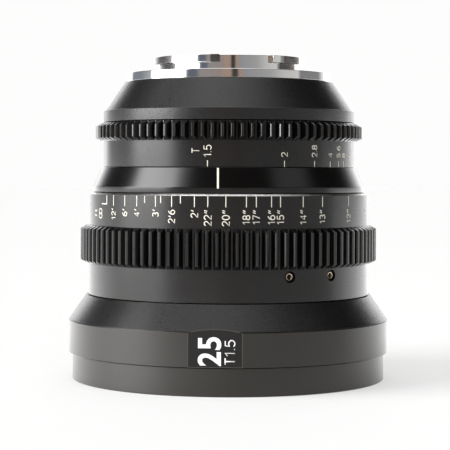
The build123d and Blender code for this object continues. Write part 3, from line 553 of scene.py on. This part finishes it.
def engraved(words, size, pen=0.3, spread=1.0, gap=0.2):
    """Numerals of one stroke width, cut and filled, with a faintly rounded face."""
    curve = bpy.data.curves.new("strokes", "CURVE")
    curve.dimensions = "3D"
    curve.bevel_depth = pen / 2 * MM
    curve.bevel_resolution = 1
    curve.use_fill_caps = True
    start = 0.0
    for letter in words:
        wide, paths = strokes[letter]
        for path in paths:
            spline = curve.splines.new("POLY")
            spline.points.add(len(path) - 1)
            for point, (x, y) in zip(spline.points, path):
                point.co = ((start + x * spread) * size * MM, y * size * MM, 0, 1)
        start += wide * spread + gap
    work = flat_mesh(curve)
    for vert in work.verts:
        vert.co.z *= 0.12
    return work


def extent(work):
    """Width and height of flat letters that start at (0, 0)."""
    return [max(vert.co[axis] for vert in work.verts) for axis in range(2)]


for name, work, side, height, squeeze in [
    ("label_focal_length", lettering("25", 7.9, 0.17, 1.07), -1.38, 11.45, 0.925),
    ("label_stop", engraved("T1.5", 2.4, 0.31, 1.22, 0.24), 3.74, 11.3, 0.945),
]:
    wide, tall = extent(work)
    for vert in work.verts:
        along = (vert.co.x - wide / 2) * squeeze
        up = vert.co.y - tall / 2
        out = flat_at + 2 * plate_thickness + vert.co.z * 0.2
        sideways = side * MM - up
        vert.co = label_out * out + label_side * sideways + Vector((0, 0, height * MM + along))
    bmesh.ops.recalc_face_normals(work, faces=work.faces)
    letters = placed(name, work, smooth=False)
    finish(letters, print_white, "root", "black_anodised")


# Focus ring: one turned and milled tube with the distance scale, the 99 teeth of 0.8 module
# and a plain skirt, black anodised, held to the cam sleeve by socket set screws.
def polar(radius, angle, height):
    """A point round the optical axis in metres, from millimetres and radians."""
    return radius * math.cos(angle) * MM, radius * math.sin(angle) * MM, height * MM


def toothed(name, teeth, bottom, height, hub, chamfer=0.95):
    """Ring of straight-flanked teeth with chamfered tips and ends, on a short hub."""
    module, pressure_angle = 0.8, math.radians(20)
    root_depth = 1.25 * module
    pitch = module * teeth / 2
    tip, root = pitch + module, pitch - root_depth
    slope = math.tan(pressure_angle)
    half = math.pi * module / 4
    tip_turn = (half - module * slope) / tip
    root_turn = (half + root_depth * slope) / root
    gap_turn = 2 * math.pi / teeth - root_turn
    low, high = bottom, bottom + height
    cut_deep, cut_wide = 0.3, 0.235
    shoulder, foot = tip - cut_deep, root + 0.1
    turn_each = (tip_turn - root_turn) / (tip - root)
    shoulder_turn = root_turn + turn_each * (shoulder - root)
    foot_turn = root_turn + turn_each * (foot - root)
    land_turn = shoulder_turn - cut_wide / tip
    work = bmesh.new()
    rows = []
    for high_at, side_at, side_turn, level in [
        (foot, foot, foot_turn, low), (tip, shoulder, shoulder_turn, low + chamfer),
        (tip, shoulder, shoulder_turn, high - chamfer), (foot, foot, foot_turn, high),
    ]:
        rows.append([
            work.verts.new(polar(radius, angle, level))
            for radius, angle in [
                (root, -root_turn), (side_at, -side_turn), (high_at, -land_turn),
                (high_at, land_turn), (side_at, side_turn), (root, root_turn), (root, gap_turn),
            ]
        ])
    for lower, upper in zip(rows, rows[1:]):
        for left in range(6):
            side = work.faces.new((lower[left], lower[left + 1], upper[left + 1], upper[left]))
            side.material_index = 1 if left in (1, 3) and lower is rows[1] else 0
    for row, level in ((rows[0], low), (rows[-1], high)):
        work.faces.new(row[:6])
        inner = [
            work.verts.new(polar(hub, angle, level)) for angle in (-root_turn, root_turn, gap_turn)
        ]
        work.faces.new((row[0], row[5], inner[1], inner[0]))
        work.faces.new((row[5], row[6], inner[2], inner[1]))
    tip_round = 0.05
    tops = [
        edge for edge in work.edges
        if all(vert.co.xy.length > (tip - tip_round) * MM for vert in edge.verts)
    ]
    soften(work, tops, tip_round)
    spin(work, teeth, copies=True)
    bmesh.ops.remove_doubles(work, verts=work.verts, dist=0.004 * MM)
    bmesh.ops.recalc_face_normals(work, faces=work.faces)
    return placed(name, work, smooth=False)


toothed_black = metal("gear_black", (0.0034, 0.0030, 0.0028), 0.16, grain=0.2, grain_size=0.1)
tree = toothed_black.node_tree
# Painted shade: the teeth lose their specular where ambient occlusion finds the narrow gaps between
# them, standing for the shade in those gaps.
gap_shade = add(tree, "ShaderNodeAmbientOcclusion", samples=6)
gap_shade.inputs["Distance"].default_value = 1.6 * MM
gloss = add(tree, "ShaderNodeMapRange")
gloss.inputs["From Min"].default_value = 0.28
gloss.inputs["From Max"].default_value = 0.5
gloss.inputs["To Min"].default_value = 0.03
gloss.inputs["To Max"].default_value = 0.5
tree.links.new(gap_shade.outputs["AO"], gloss.inputs["Value"])
tree.links.new(gloss.outputs[0], tree.nodes["Principled BSDF"].inputs["Specular IOR Level"])
bright_cut = metal("gear_edge", (0.010, 0.009, 0.0085), 0.13, specular=0.85)
focus_radius = 38.2
focus_body = turned("focus_ring_body", [
    (34.0, 23.0), (focus_radius, 23.0), (focus_radius, 50.05), (37.8, 50.45), (34.0, 50.45),
], edge=0.06)
screw_bearings = (23.8, 43.7, 203.8, 223.7)
screw_height = 29.5 * MM
outward = Matrix.Rotation(math.pi / 2, 4, "Y")


def facing(bearing):
    """The turn that carries a piece on the x axis to a bearing, in degrees."""
    return Matrix.Rotation(math.radians(bearing - 90), 4, "Z")


def rod(work, radius, low, high, seat, sides):
    """A closed cylinder on the seat's axis, between two heights."""
    bmesh.ops.create_cone(
        work, cap_ends=True, segments=sides, radius1=radius * MM, radius2=radius * MM,
        depth=(high - low) * MM, matrix=seat @ Matrix.Translation((0, 0, (low + high) / 2 * MM)),
    )


def cut_away(piece, work):
    """Mill or drill a piece with the solids of a mesh."""
    cutter = placed("cutter", work, smooth=False)
    cut = piece.modifiers.new("cut", "BOOLEAN")
    cut.object = cutter
    cut.solver = "EXACT"
    while piece.modifiers[0] != cut:
        piece.modifiers.move(len(piece.modifiers) - 1, 0)
    evened = [other.name for other in piece.modifiers if other != cut]
    for other in evened:
        piece.modifiers[other].show_viewport = False
    drilled = as_mesh(piece)
    piece.modifiers.remove(cut)
    for other in evened:
        piece.modifiers[other].show_viewport = True
    piece.data = drilled
    bpy.data.objects.remove(cutter)


holes = bmesh.new()
for bearing in screw_bearings:
    spot = Matrix.Translation((37.0 * MM, 0, screw_height))
    rod(holes, 1.48, -4, 4, facing(bearing) @ spot @ outward, 32)
cut_away(focus_body, holes)
finish(focus_body, anodised, "focus_ring", "black_anodised", "focus_ring")
focus_teeth = toothed("focus_ring_teeth", 99, 31.4, 10.3, 37.0)
finish(focus_teeth, toothed_black, "focus_ring", "black_anodised")
focus_teeth.data.materials.append(bright_cut)


# Bright edge of the focus ring: a chamfer cut after anodising, so that bare aluminium shows
# as a thin line all the way round its top.
bare_edge = metal("bare_aluminium", (0.80, 0.79, 0.77), 0.30, metallic=1.0, turning=0.3)
focus_edge = turned("focus_ring_bright_edge", [
    (38.0, 50.0), (38.21, 50.04), (37.79, 50.46), (37.75, 50.25),
], edge=0)
finish(focus_edge, bare_edge, "focus_ring", "black_anodised")


# Set screws of the focus ring: four small steel screws with hexagon sockets, sunk below the
# skirt in drilled holes, which lock the ring to the cam sleeve.
plain_steel = metal("screw_steel", (0.66, 0.56, 0.43), 0.22, metallic=1.0)
for count, bearing in enumerate(screw_bearings):
    work = bmesh.new()
    levels = []
    for radius, out, sides in [
        (1.1, -2.0, 24), (1.1, -0.75, 24), (0.9, -0.45, 24),
        (0.8, -0.5, 6), (0.6, -0.8, 6), (0.6, -1.6, 6),
    ]:
        level = Matrix.Translation((0, 0, out * MM))
        ring = bmesh.ops.create_circle(work, segments=sides, radius=radius * MM, matrix=level)
        corners = ring["verts"]
        levels.append([edge for edge in work.edges if all(end in corners for end in edge.verts)])
    for lower, upper in zip(levels, levels[1:]):
        bmesh.ops.bridge_loops(work, edges=lower + upper)
    bmesh.ops.contextual_create(work, geom=levels[0])
    # Painted shade: the floor of each hexagon socket is soot black, standing for the shade deep
    # inside the socket.
    for face in bmesh.ops.contextual_create(work, geom=levels[-1])["faces"]:
        face.material_index = 1
    spot = Matrix.Translation((focus_radius * MM, 0, screw_height))
    bmesh.ops.transform(work, matrix=facing(bearing) @ spot @ outward, verts=work.verts)
    bmesh.ops.recalc_face_normals(work, faces=work.faces)
    screw = placed(f"focus_set_screw_{count + 1}", work, smooth=False)
    stands_for = ["focus_set_screws"] if count == 0 else []
    finish(screw, plain_steel, "focus_ring", "screw_steel", *stands_for)
    # The soot black is the painted shade on the socket floors.
    screw.data.materials.append(soot)


# Distance scale: lines and numbers engraved in the focus ring's upper band and filled with
# cream-white paint, in feet and inches from the far mark round to the near one.
paint = metal("scale_paint", (0.76, 0.73, 0.63), 0.55, patches=0.04, specular=0.25)


def on_round(work, radius_at, lift=0.012):
    """Wrap flat marks, drawn as (arc, height), round the lens."""
    for vert in work.verts:
        radius = radius_at(vert.co.y)
        turn = vert.co.x / radius
        out = radius + lift * MM + vert.co.z
        vert.co = (out * math.sin(turn), -out * math.cos(turn), vert.co.y)
    bmesh.ops.recalc_face_normals(work, faces=work.faces)
    for face in work.faces:
        middle = face.calc_center_median()
        if face.normal.dot(Vector((middle.x, middle.y, 0))) < 0:
            face.normal_flip()


def bar(work, arc, low, high, wide):
    """One flat line of the scale, centred on an arc length, between two heights."""
    left, right = arc - wide / 2, arc + wide / 2
    corners = [(left, low), (right, low), (right, high), (left, high)]
    work.faces.new([work.verts.new((x * MM, y * MM, 0)) for x, y in corners])


def number(scale, words, size, arc, start=None, end=None, pen=0.24, spread=1.0, gap=0.2):
    """One number of a scale, read upwards, centred on an arc length."""
    work = engraved(words, size, pen, spread, gap)
    wide, tall = extent(work)
    base = start * MM if start is not None else end * MM - wide
    for vert in work.verts:
        x, y, z = vert.co
        vert.co = (arc * MM - (y - tall / 2), base + x, z)
    mesh = bpy.data.meshes.new("mark")
    work.to_mesh(mesh)
    work.free()
    scale.from_mesh(mesh)
    bpy.data.meshes.remove(mesh)


arc_per_degree = math.radians(1) * focus_radius
line_top, long_line, short_line, number_top = 49.95, 47.2, 48.1, 46.5
marks = bmesh.new()
for at, word, size in [
    (-51.9, "12'", 1.62), (-44.9, "6'", 1.66), (-38.4, "4'", 1.66), (-34.5, "", 0),
    (-29.5, "3'", 1.7), (-27.2, "", 0), (-22.55, "2'6", 1.72), (-18.95, "", 0),
    (-13.4, "2'", 1.76), (-8.25, '22"', 1.78), (-1.4, '20"', 1.78), (6.35, '18"', 1.78),
    (10.15, '17"', 1.78), (16.1, '16"', 1.78), (19.7, '15"', 1.78), (29.4, '14"', 1.76),
    (38.7, '13"', 1.74), (54.8, '12"', 1.72), (73.5, '11"', 1.7), (94.0, '10"', 1.7),
]:
    arc = at * arc_per_degree
    bar(marks, arc, long_line if word else short_line, line_top, 0.22)
    if word:
        number(marks, word, size, arc, end=number_top, spread=1.04, gap=0.26)

# The far mark has a foot, laid in five short lengths so that it follows the round
far_mark, foot_length = -56.9 * arc_per_degree, 0.58
bar(marks, far_mark, 47.5, line_top, 0.24)
for count in range(5):
    bar(marks, far_mark - 0.17 - foot_length * count, 47.5, 47.74, foot_length)
number(marks, "∞", 2.15, -62.3 * arc_per_degree, end=46.45, pen=0.24)
number(marks, "ft", 1.5, -67.3 * arc_per_degree, end=46.0, gap=0.4)
on_round(marks, lambda height: focus_radius * MM)
focus_marks = placed("distance_scale", marks, smooth=False)
finish(focus_marks, paint, "focus_ring", "black_anodised")


# Index ring: the fixed ring between the two turning ones, a short band and a cone, with one
# long white line that both scales are read against.
satin_black = metal("black_satin", (0.0025, 0.0022, 0.0020), 0.21, turning=0.15, grain=0.1)
cone_foot, cone_top = (37.05, 52.15), (34.9, 57.25)
index_body = turned("index_ring_body", [
    (barrel_radius, 50.65), (37.05, 50.65), cone_foot, cone_top, (barrel_radius, 57.25),
], edge=0.12)
finish(index_body, satin_black, "root", "black_anodised", "index_ring")


def index_radius(height):
    """Radius of the index ring's surface at a height, in metres."""
    rise = max(0.0, (height / MM - cone_foot[1]) / (cone_top[1] - cone_foot[1]))
    return (cone_foot[0] + (cone_top[0] - cone_foot[0]) * rise) * MM


line = bmesh.new()
mean_radius, line_width = 36.0, 0.5
for low, high in [(51.9, cone_foot[1]), (cone_foot[1], 57.1)]:
    bar(line, label_turn * mean_radius, low, high, line_width)
on_round(line, index_radius, lift=0.02)
index_line = placed("index_line", line, smooth=False)
finish(index_line, paint, "root", "black_anodised")


# Iris ring: the T-stop scale and 89 teeth of 0.8 module on one turned ring, black anodised.
# Two keys behind it pass through the barrel and turn the cam ring of the blades.
iris_radius = 34.25
iris_body = turned("iris_ring_body", [
    (31.7, 57.3), (iris_radius, 57.3), (iris_radius, 69.25), (31.7, 69.25),
], edge=0.15)
finish(iris_body, anodised, "iris_ring", "black_anodised", "iris_ring")
iris_teeth = toothed("iris_ring_teeth", 89, 64.25, 5.0, 33.2)
finish(iris_teeth, toothed_black, "iris_ring", "black_anodised")
iris_teeth.data.materials.append(bright_cut)

arc_per_degree = math.radians(1) * iris_radius
marks = bmesh.new()
for at, word, size in [
    (-9.45, "1.5", 1.88), (24.2, "2", 1.68), (40.0, "2.8", 1.68), (50.35, "4", 1.68),
    (57.2, "5.6", 1.68), (62.2, "8", 1.68), (70.6, "16", 1.68),
]:
    arc = at * arc_per_degree
    bar(marks, arc, 57.45, 59.0, 0.22)
    number(marks, word, size, arc, start=59.95, pen=0.215, spread=1.06, gap=0.23)
number(marks, "T", 1.95, -14.7 * arc_per_degree, start=60.9, pen=0.23)
on_round(marks, lambda height: iris_radius * MM)
iris_marks = placed("stop_scale", marks, smooth=False)
finish(iris_marks, paint, "iris_ring", "black_anodised")


# Rear housing: short band and cone that carry the mount, turned from aluminium, bead blasted
# and black anodised like the front housing.
rear_housing = turned("rear_housing_shell", [
    (barrel_radius, 69.45), (34.25, 69.45), (34.25, 72.55), (33.7, 72.55), (28.5, 80.45),
    (17.6, 80.45), (17.6, 77.85), (26.2, 77.85), (29.1, 72.3), (barrel_radius, 72.3),
], edge=0.15)
finish(rear_housing, blasted, "root", "black_anodised", "rear_housing")


# Bayonet mount: polished stainless flange, collar and three lugs turned and milled in one
# piece. Four screws with sunk heads hold it to the rear housing.
bright = metal("polished_steel", (0.80, 0.79, 0.78), 0.07, metallic=1.0, turning=0.06, patches=0.02)
mount = turned("mount_flange", [
    (17.0, 80.45), (27.8, 80.45), (27.8, 82.85), (19.3, 82.85), (19.3, 87.05), (17.6, 87.05),
    (17.6, 85.25), (17.0, 85.25),
], edge=0.2)
screw_circle = 23.6 * MM
screw_seats = [
    facing(index_bearing + 45 + 90 * count) @ Matrix.Translation((screw_circle, 0, 0))
    for count in range(4)
]
milling = bmesh.new()
for seat in screw_seats:
    rod(milling, 1.05, 80.0, 82.2, seat, 40)
    rod(milling, 1.95, 81.95, 83.5, seat, 40)
notch_bearing, notch_size = 110, Matrix.Diagonal((3.6 * MM, 2.6 * MM, 2.0 * MM, 1))
notch = facing(notch_bearing) @ Matrix.Translation((screw_circle, 0, 82.65 * MM)) @ notch_size
bmesh.ops.create_cube(milling, size=1.0, matrix=notch)
cut_away(mount, milling)
finish(mount, bright, "root", "bright_steel", "bayonet_mount")
# Painted reflection: dark rough steel on some outer faces of the mount and lugs, at bearings
# counted from the camera side, stands for dark things mirrored in the polished steel there.
dark_reflection_steel = metal("dark_reflection_steel", (0.15, 0.14, 0.135), 0.26, metallic=1.0, grain=1.0,
                     grain_size=0.45, patches=0.1)


def paint_dark_reflection(piece, *spans):
    """Paint the outer faces between some bearings, counted from the camera side, dark and rough, as
    painted dark reflections in the polished steel.
    """
    piece.data.materials.append(dark_reflection_steel)
    above_flange, collar_face = 83 * MM, 19.1 * MM
    for face in piece.data.polygons:
        x, y, z = face.center
        bearing = math.degrees(math.atan2(x, -y))
        outer = z > above_flange and math.hypot(x, y) > collar_face
        if outer and any(low < bearing < high for low, high in spans):
            face.material_index = 1


paint_dark_reflection(mount, (-79, -50), (43, 66))
lug_bearing, lug_span = -46.7, 78
for lug in range(3):
    first = math.radians(lug_bearing - lug_span / 2 + 120 * lug - 90)
    work = bmesh.new()
    corners = [(18.2, 85.05), (20.6, 85.05), (20.6, 87.05), (18.2, 87.05)]
    work.faces.new([work.verts.new(polar(radius, first, height)) for radius, height in corners])
    spin(work, 60, math.radians(lug_span))
    bmesh.ops.recalc_face_normals(work, faces=work.faces)
    sharp = [edge for edge in work.edges if edge.calc_face_angle() > 0.8]
    soften(work, sharp, 0.15)
    bmesh.ops.recalc_face_normals(work, faces=work.faces)
    piece = placed(f"mount_lug_{lug + 1}", work)
    finish(piece, bright, "root", "bright_steel")
    paint_dark_reflection(piece, (-79, -50), (-14, -7), (45, 66))


# Mount screws: four steel screws with crossed recesses, their heads sunk in the flange, driven
# into tapped holes of the rear housing.
work = bmesh.new()
recess = bmesh.new()
for seat in screw_seats:
    rod(work, 1.9, 81.95, 82.65, seat, 40)
    rod(work, 1.0, 78.5, 81.9, seat, 24)
    for long, wide in [(2.1, 0.5), (0.5, 2.1)]:
        slot = Matrix.Diagonal((long * MM, wide * MM, 0.9 * MM, 1))
        slot = seat @ Matrix.Translation((0, 0, 82.65 * MM)) @ slot
        bmesh.ops.create_cube(recess, size=1.0, matrix=slot)
rims = [edge for edge in work.edges if all(vert.co.z > 82.6 * MM for vert in edge.verts)]
soften(work, rims, 0.15)
heads = placed("mount_screw_heads", work, smooth=False)
cut_away(heads, recess)
finish(heads, plain_steel, "root", "screw_steel", "mount_screws")


# Inner pieces: the barrel, cells, spacers and baffles are black inside so that they throw no
# light on the picture, and the drive's pins, rollers and cam pieces are plain metal.
def give(material, *names):
    """Put a material on CAD nodes that keep their own shape."""
    for name in names:
        nodes[name].data.materials.clear()
        nodes[name].data.materials.append(material)


plain_aluminium = metal("cam_aluminium", (0.42, 0.42, 0.43), 0.32, metallic=1.0, turning=0.3)
brass = metal("roller_brass", (0.72, 0.53, 0.24), 0.25, metallic=1.0, turning=0.2)
blade_black = metal("blade_black", (0.013, 0.013, 0.014), 0.42, grain=0.2, specular=0.4)
give(soot, "main_barrel", "front_cell", "front_spacer", "middle_spacer", "cell_retainer",
     "rear_cell", "rear_spacer", "rear_lock_ring", "iris_base", "iris_lock_ring")
give(plain_aluminium, "focus_sleeve", "iris_cam_ring")
give(plain_steel, "housing_screws", "follower_pins", "iris_keys")
give(brass, "follower_rollers")
give(blade_black, *[f"iris_blade_{count + 1}" for count in range(10)])


# Front retaining ring: turned black ring screwed into the front cell, its inner edge sloped
# back so that the whole front glass stays clear.
front_retainer = turned("front_retaining_ring", [
    (26.0, 10.4), (26.95, 10.4), (26.95, 12.3), (26.0, 12.07), (25.05, 11.85), (25.05, 11.75),
], edge=0.03)
finish(front_retainer, soot, "front_cell", "matt_black", "front_retainer")


# Rear retaining ring and mount baffle: two turned black rings inside the collar, which hold
# the rear glass and shade the space behind it.
rear_retainer = turned("rear_retaining_ring", [
    (13.85, 83.5), (15.15, 83.5), (15.15, 84.5), (13.85, 84.5),
], edge=0.08)
finish(rear_retainer, soot, "root", "matt_black", "rear_retainer")
mount_baffle = turned("mount_baffle_ring", [
    (13.5, 85.25), (17.55, 85.25), (17.55, 86.85), (14.7, 86.85),
], edge=0.08)
finish(mount_baffle, soot, "root", "matt_black", "mount_baffle")


# Glass: five elements ground and polished to spheres, with anti-reflection coatings that throw
# back faint green and violet.
def coated(name, tint, film):
    """Clear glass with a thin coating on it."""
    material, tree, surface = shader(name)
    surface.inputs["Base Color"].default_value = (*tint, 1)
    surface.inputs["Roughness"].default_value = 0.0
    surface.inputs["IOR"].default_value = 1.6
    surface.inputs["Transmission Weight"].default_value = 1.0
    surface.inputs["Thin Film Thickness"].default_value = film
    surface.inputs["Thin Film IOR"].default_value = 1.38
    return material


glass = coated("coated_glass", (0.97, 0.985, 0.98), 118.0)
give(glass, "second_element", "third_element", "fourth_element")


def dome(crown, rim_radius, rim, count=28):
    """Half section of a spherical face, from its crown on the axis out to its rim."""
    sag = rim - crown
    radius = (rim_radius ** 2 + sag ** 2) / (2 * sag)
    reach = [rim_radius * step / count for step in range(count + 1)]
    side = math.copysign(1, sag)
    return [(out, crown + radius - side * math.sqrt(radius ** 2 - out ** 2)) for out in reach]


front_edge, rear_edge = [(26.95, 19.6)], [(15.15, 80.3), (15.15, 83.5)]
front_outline = dome(9.1, 26.95, 12.4) + front_edge + dome(12.6, 22.0, 19.6)[::-1]
rear_outline = dome(79.0, 13.6, 80.3) + rear_edge + dome(84.4, 13.6, 83.5)[::-1]
for name, outline, body in [
    ("front_element", front_outline, "front_cell"), ("rear_element", rear_outline, "root"),
]:
    work = bmesh.new()
    section = [work.verts.new((radius * MM, 0, height * MM)) for radius, height in outline]
    for pair in zip(section, section[1:]):
        work.edges.new(pair)
    spin(work, 144, merge=True)
    bmesh.ops.remove_doubles(work, verts=work.verts, dist=0.001 * MM)
    bmesh.ops.recalc_face_normals(work, faces=work.faces)
    disc = placed(f"{name}_glass", work)
    disc.data.set_sharp_from_angle(angle=math.radians(9))
    finish(disc, glass, body, "coated_glass", name)
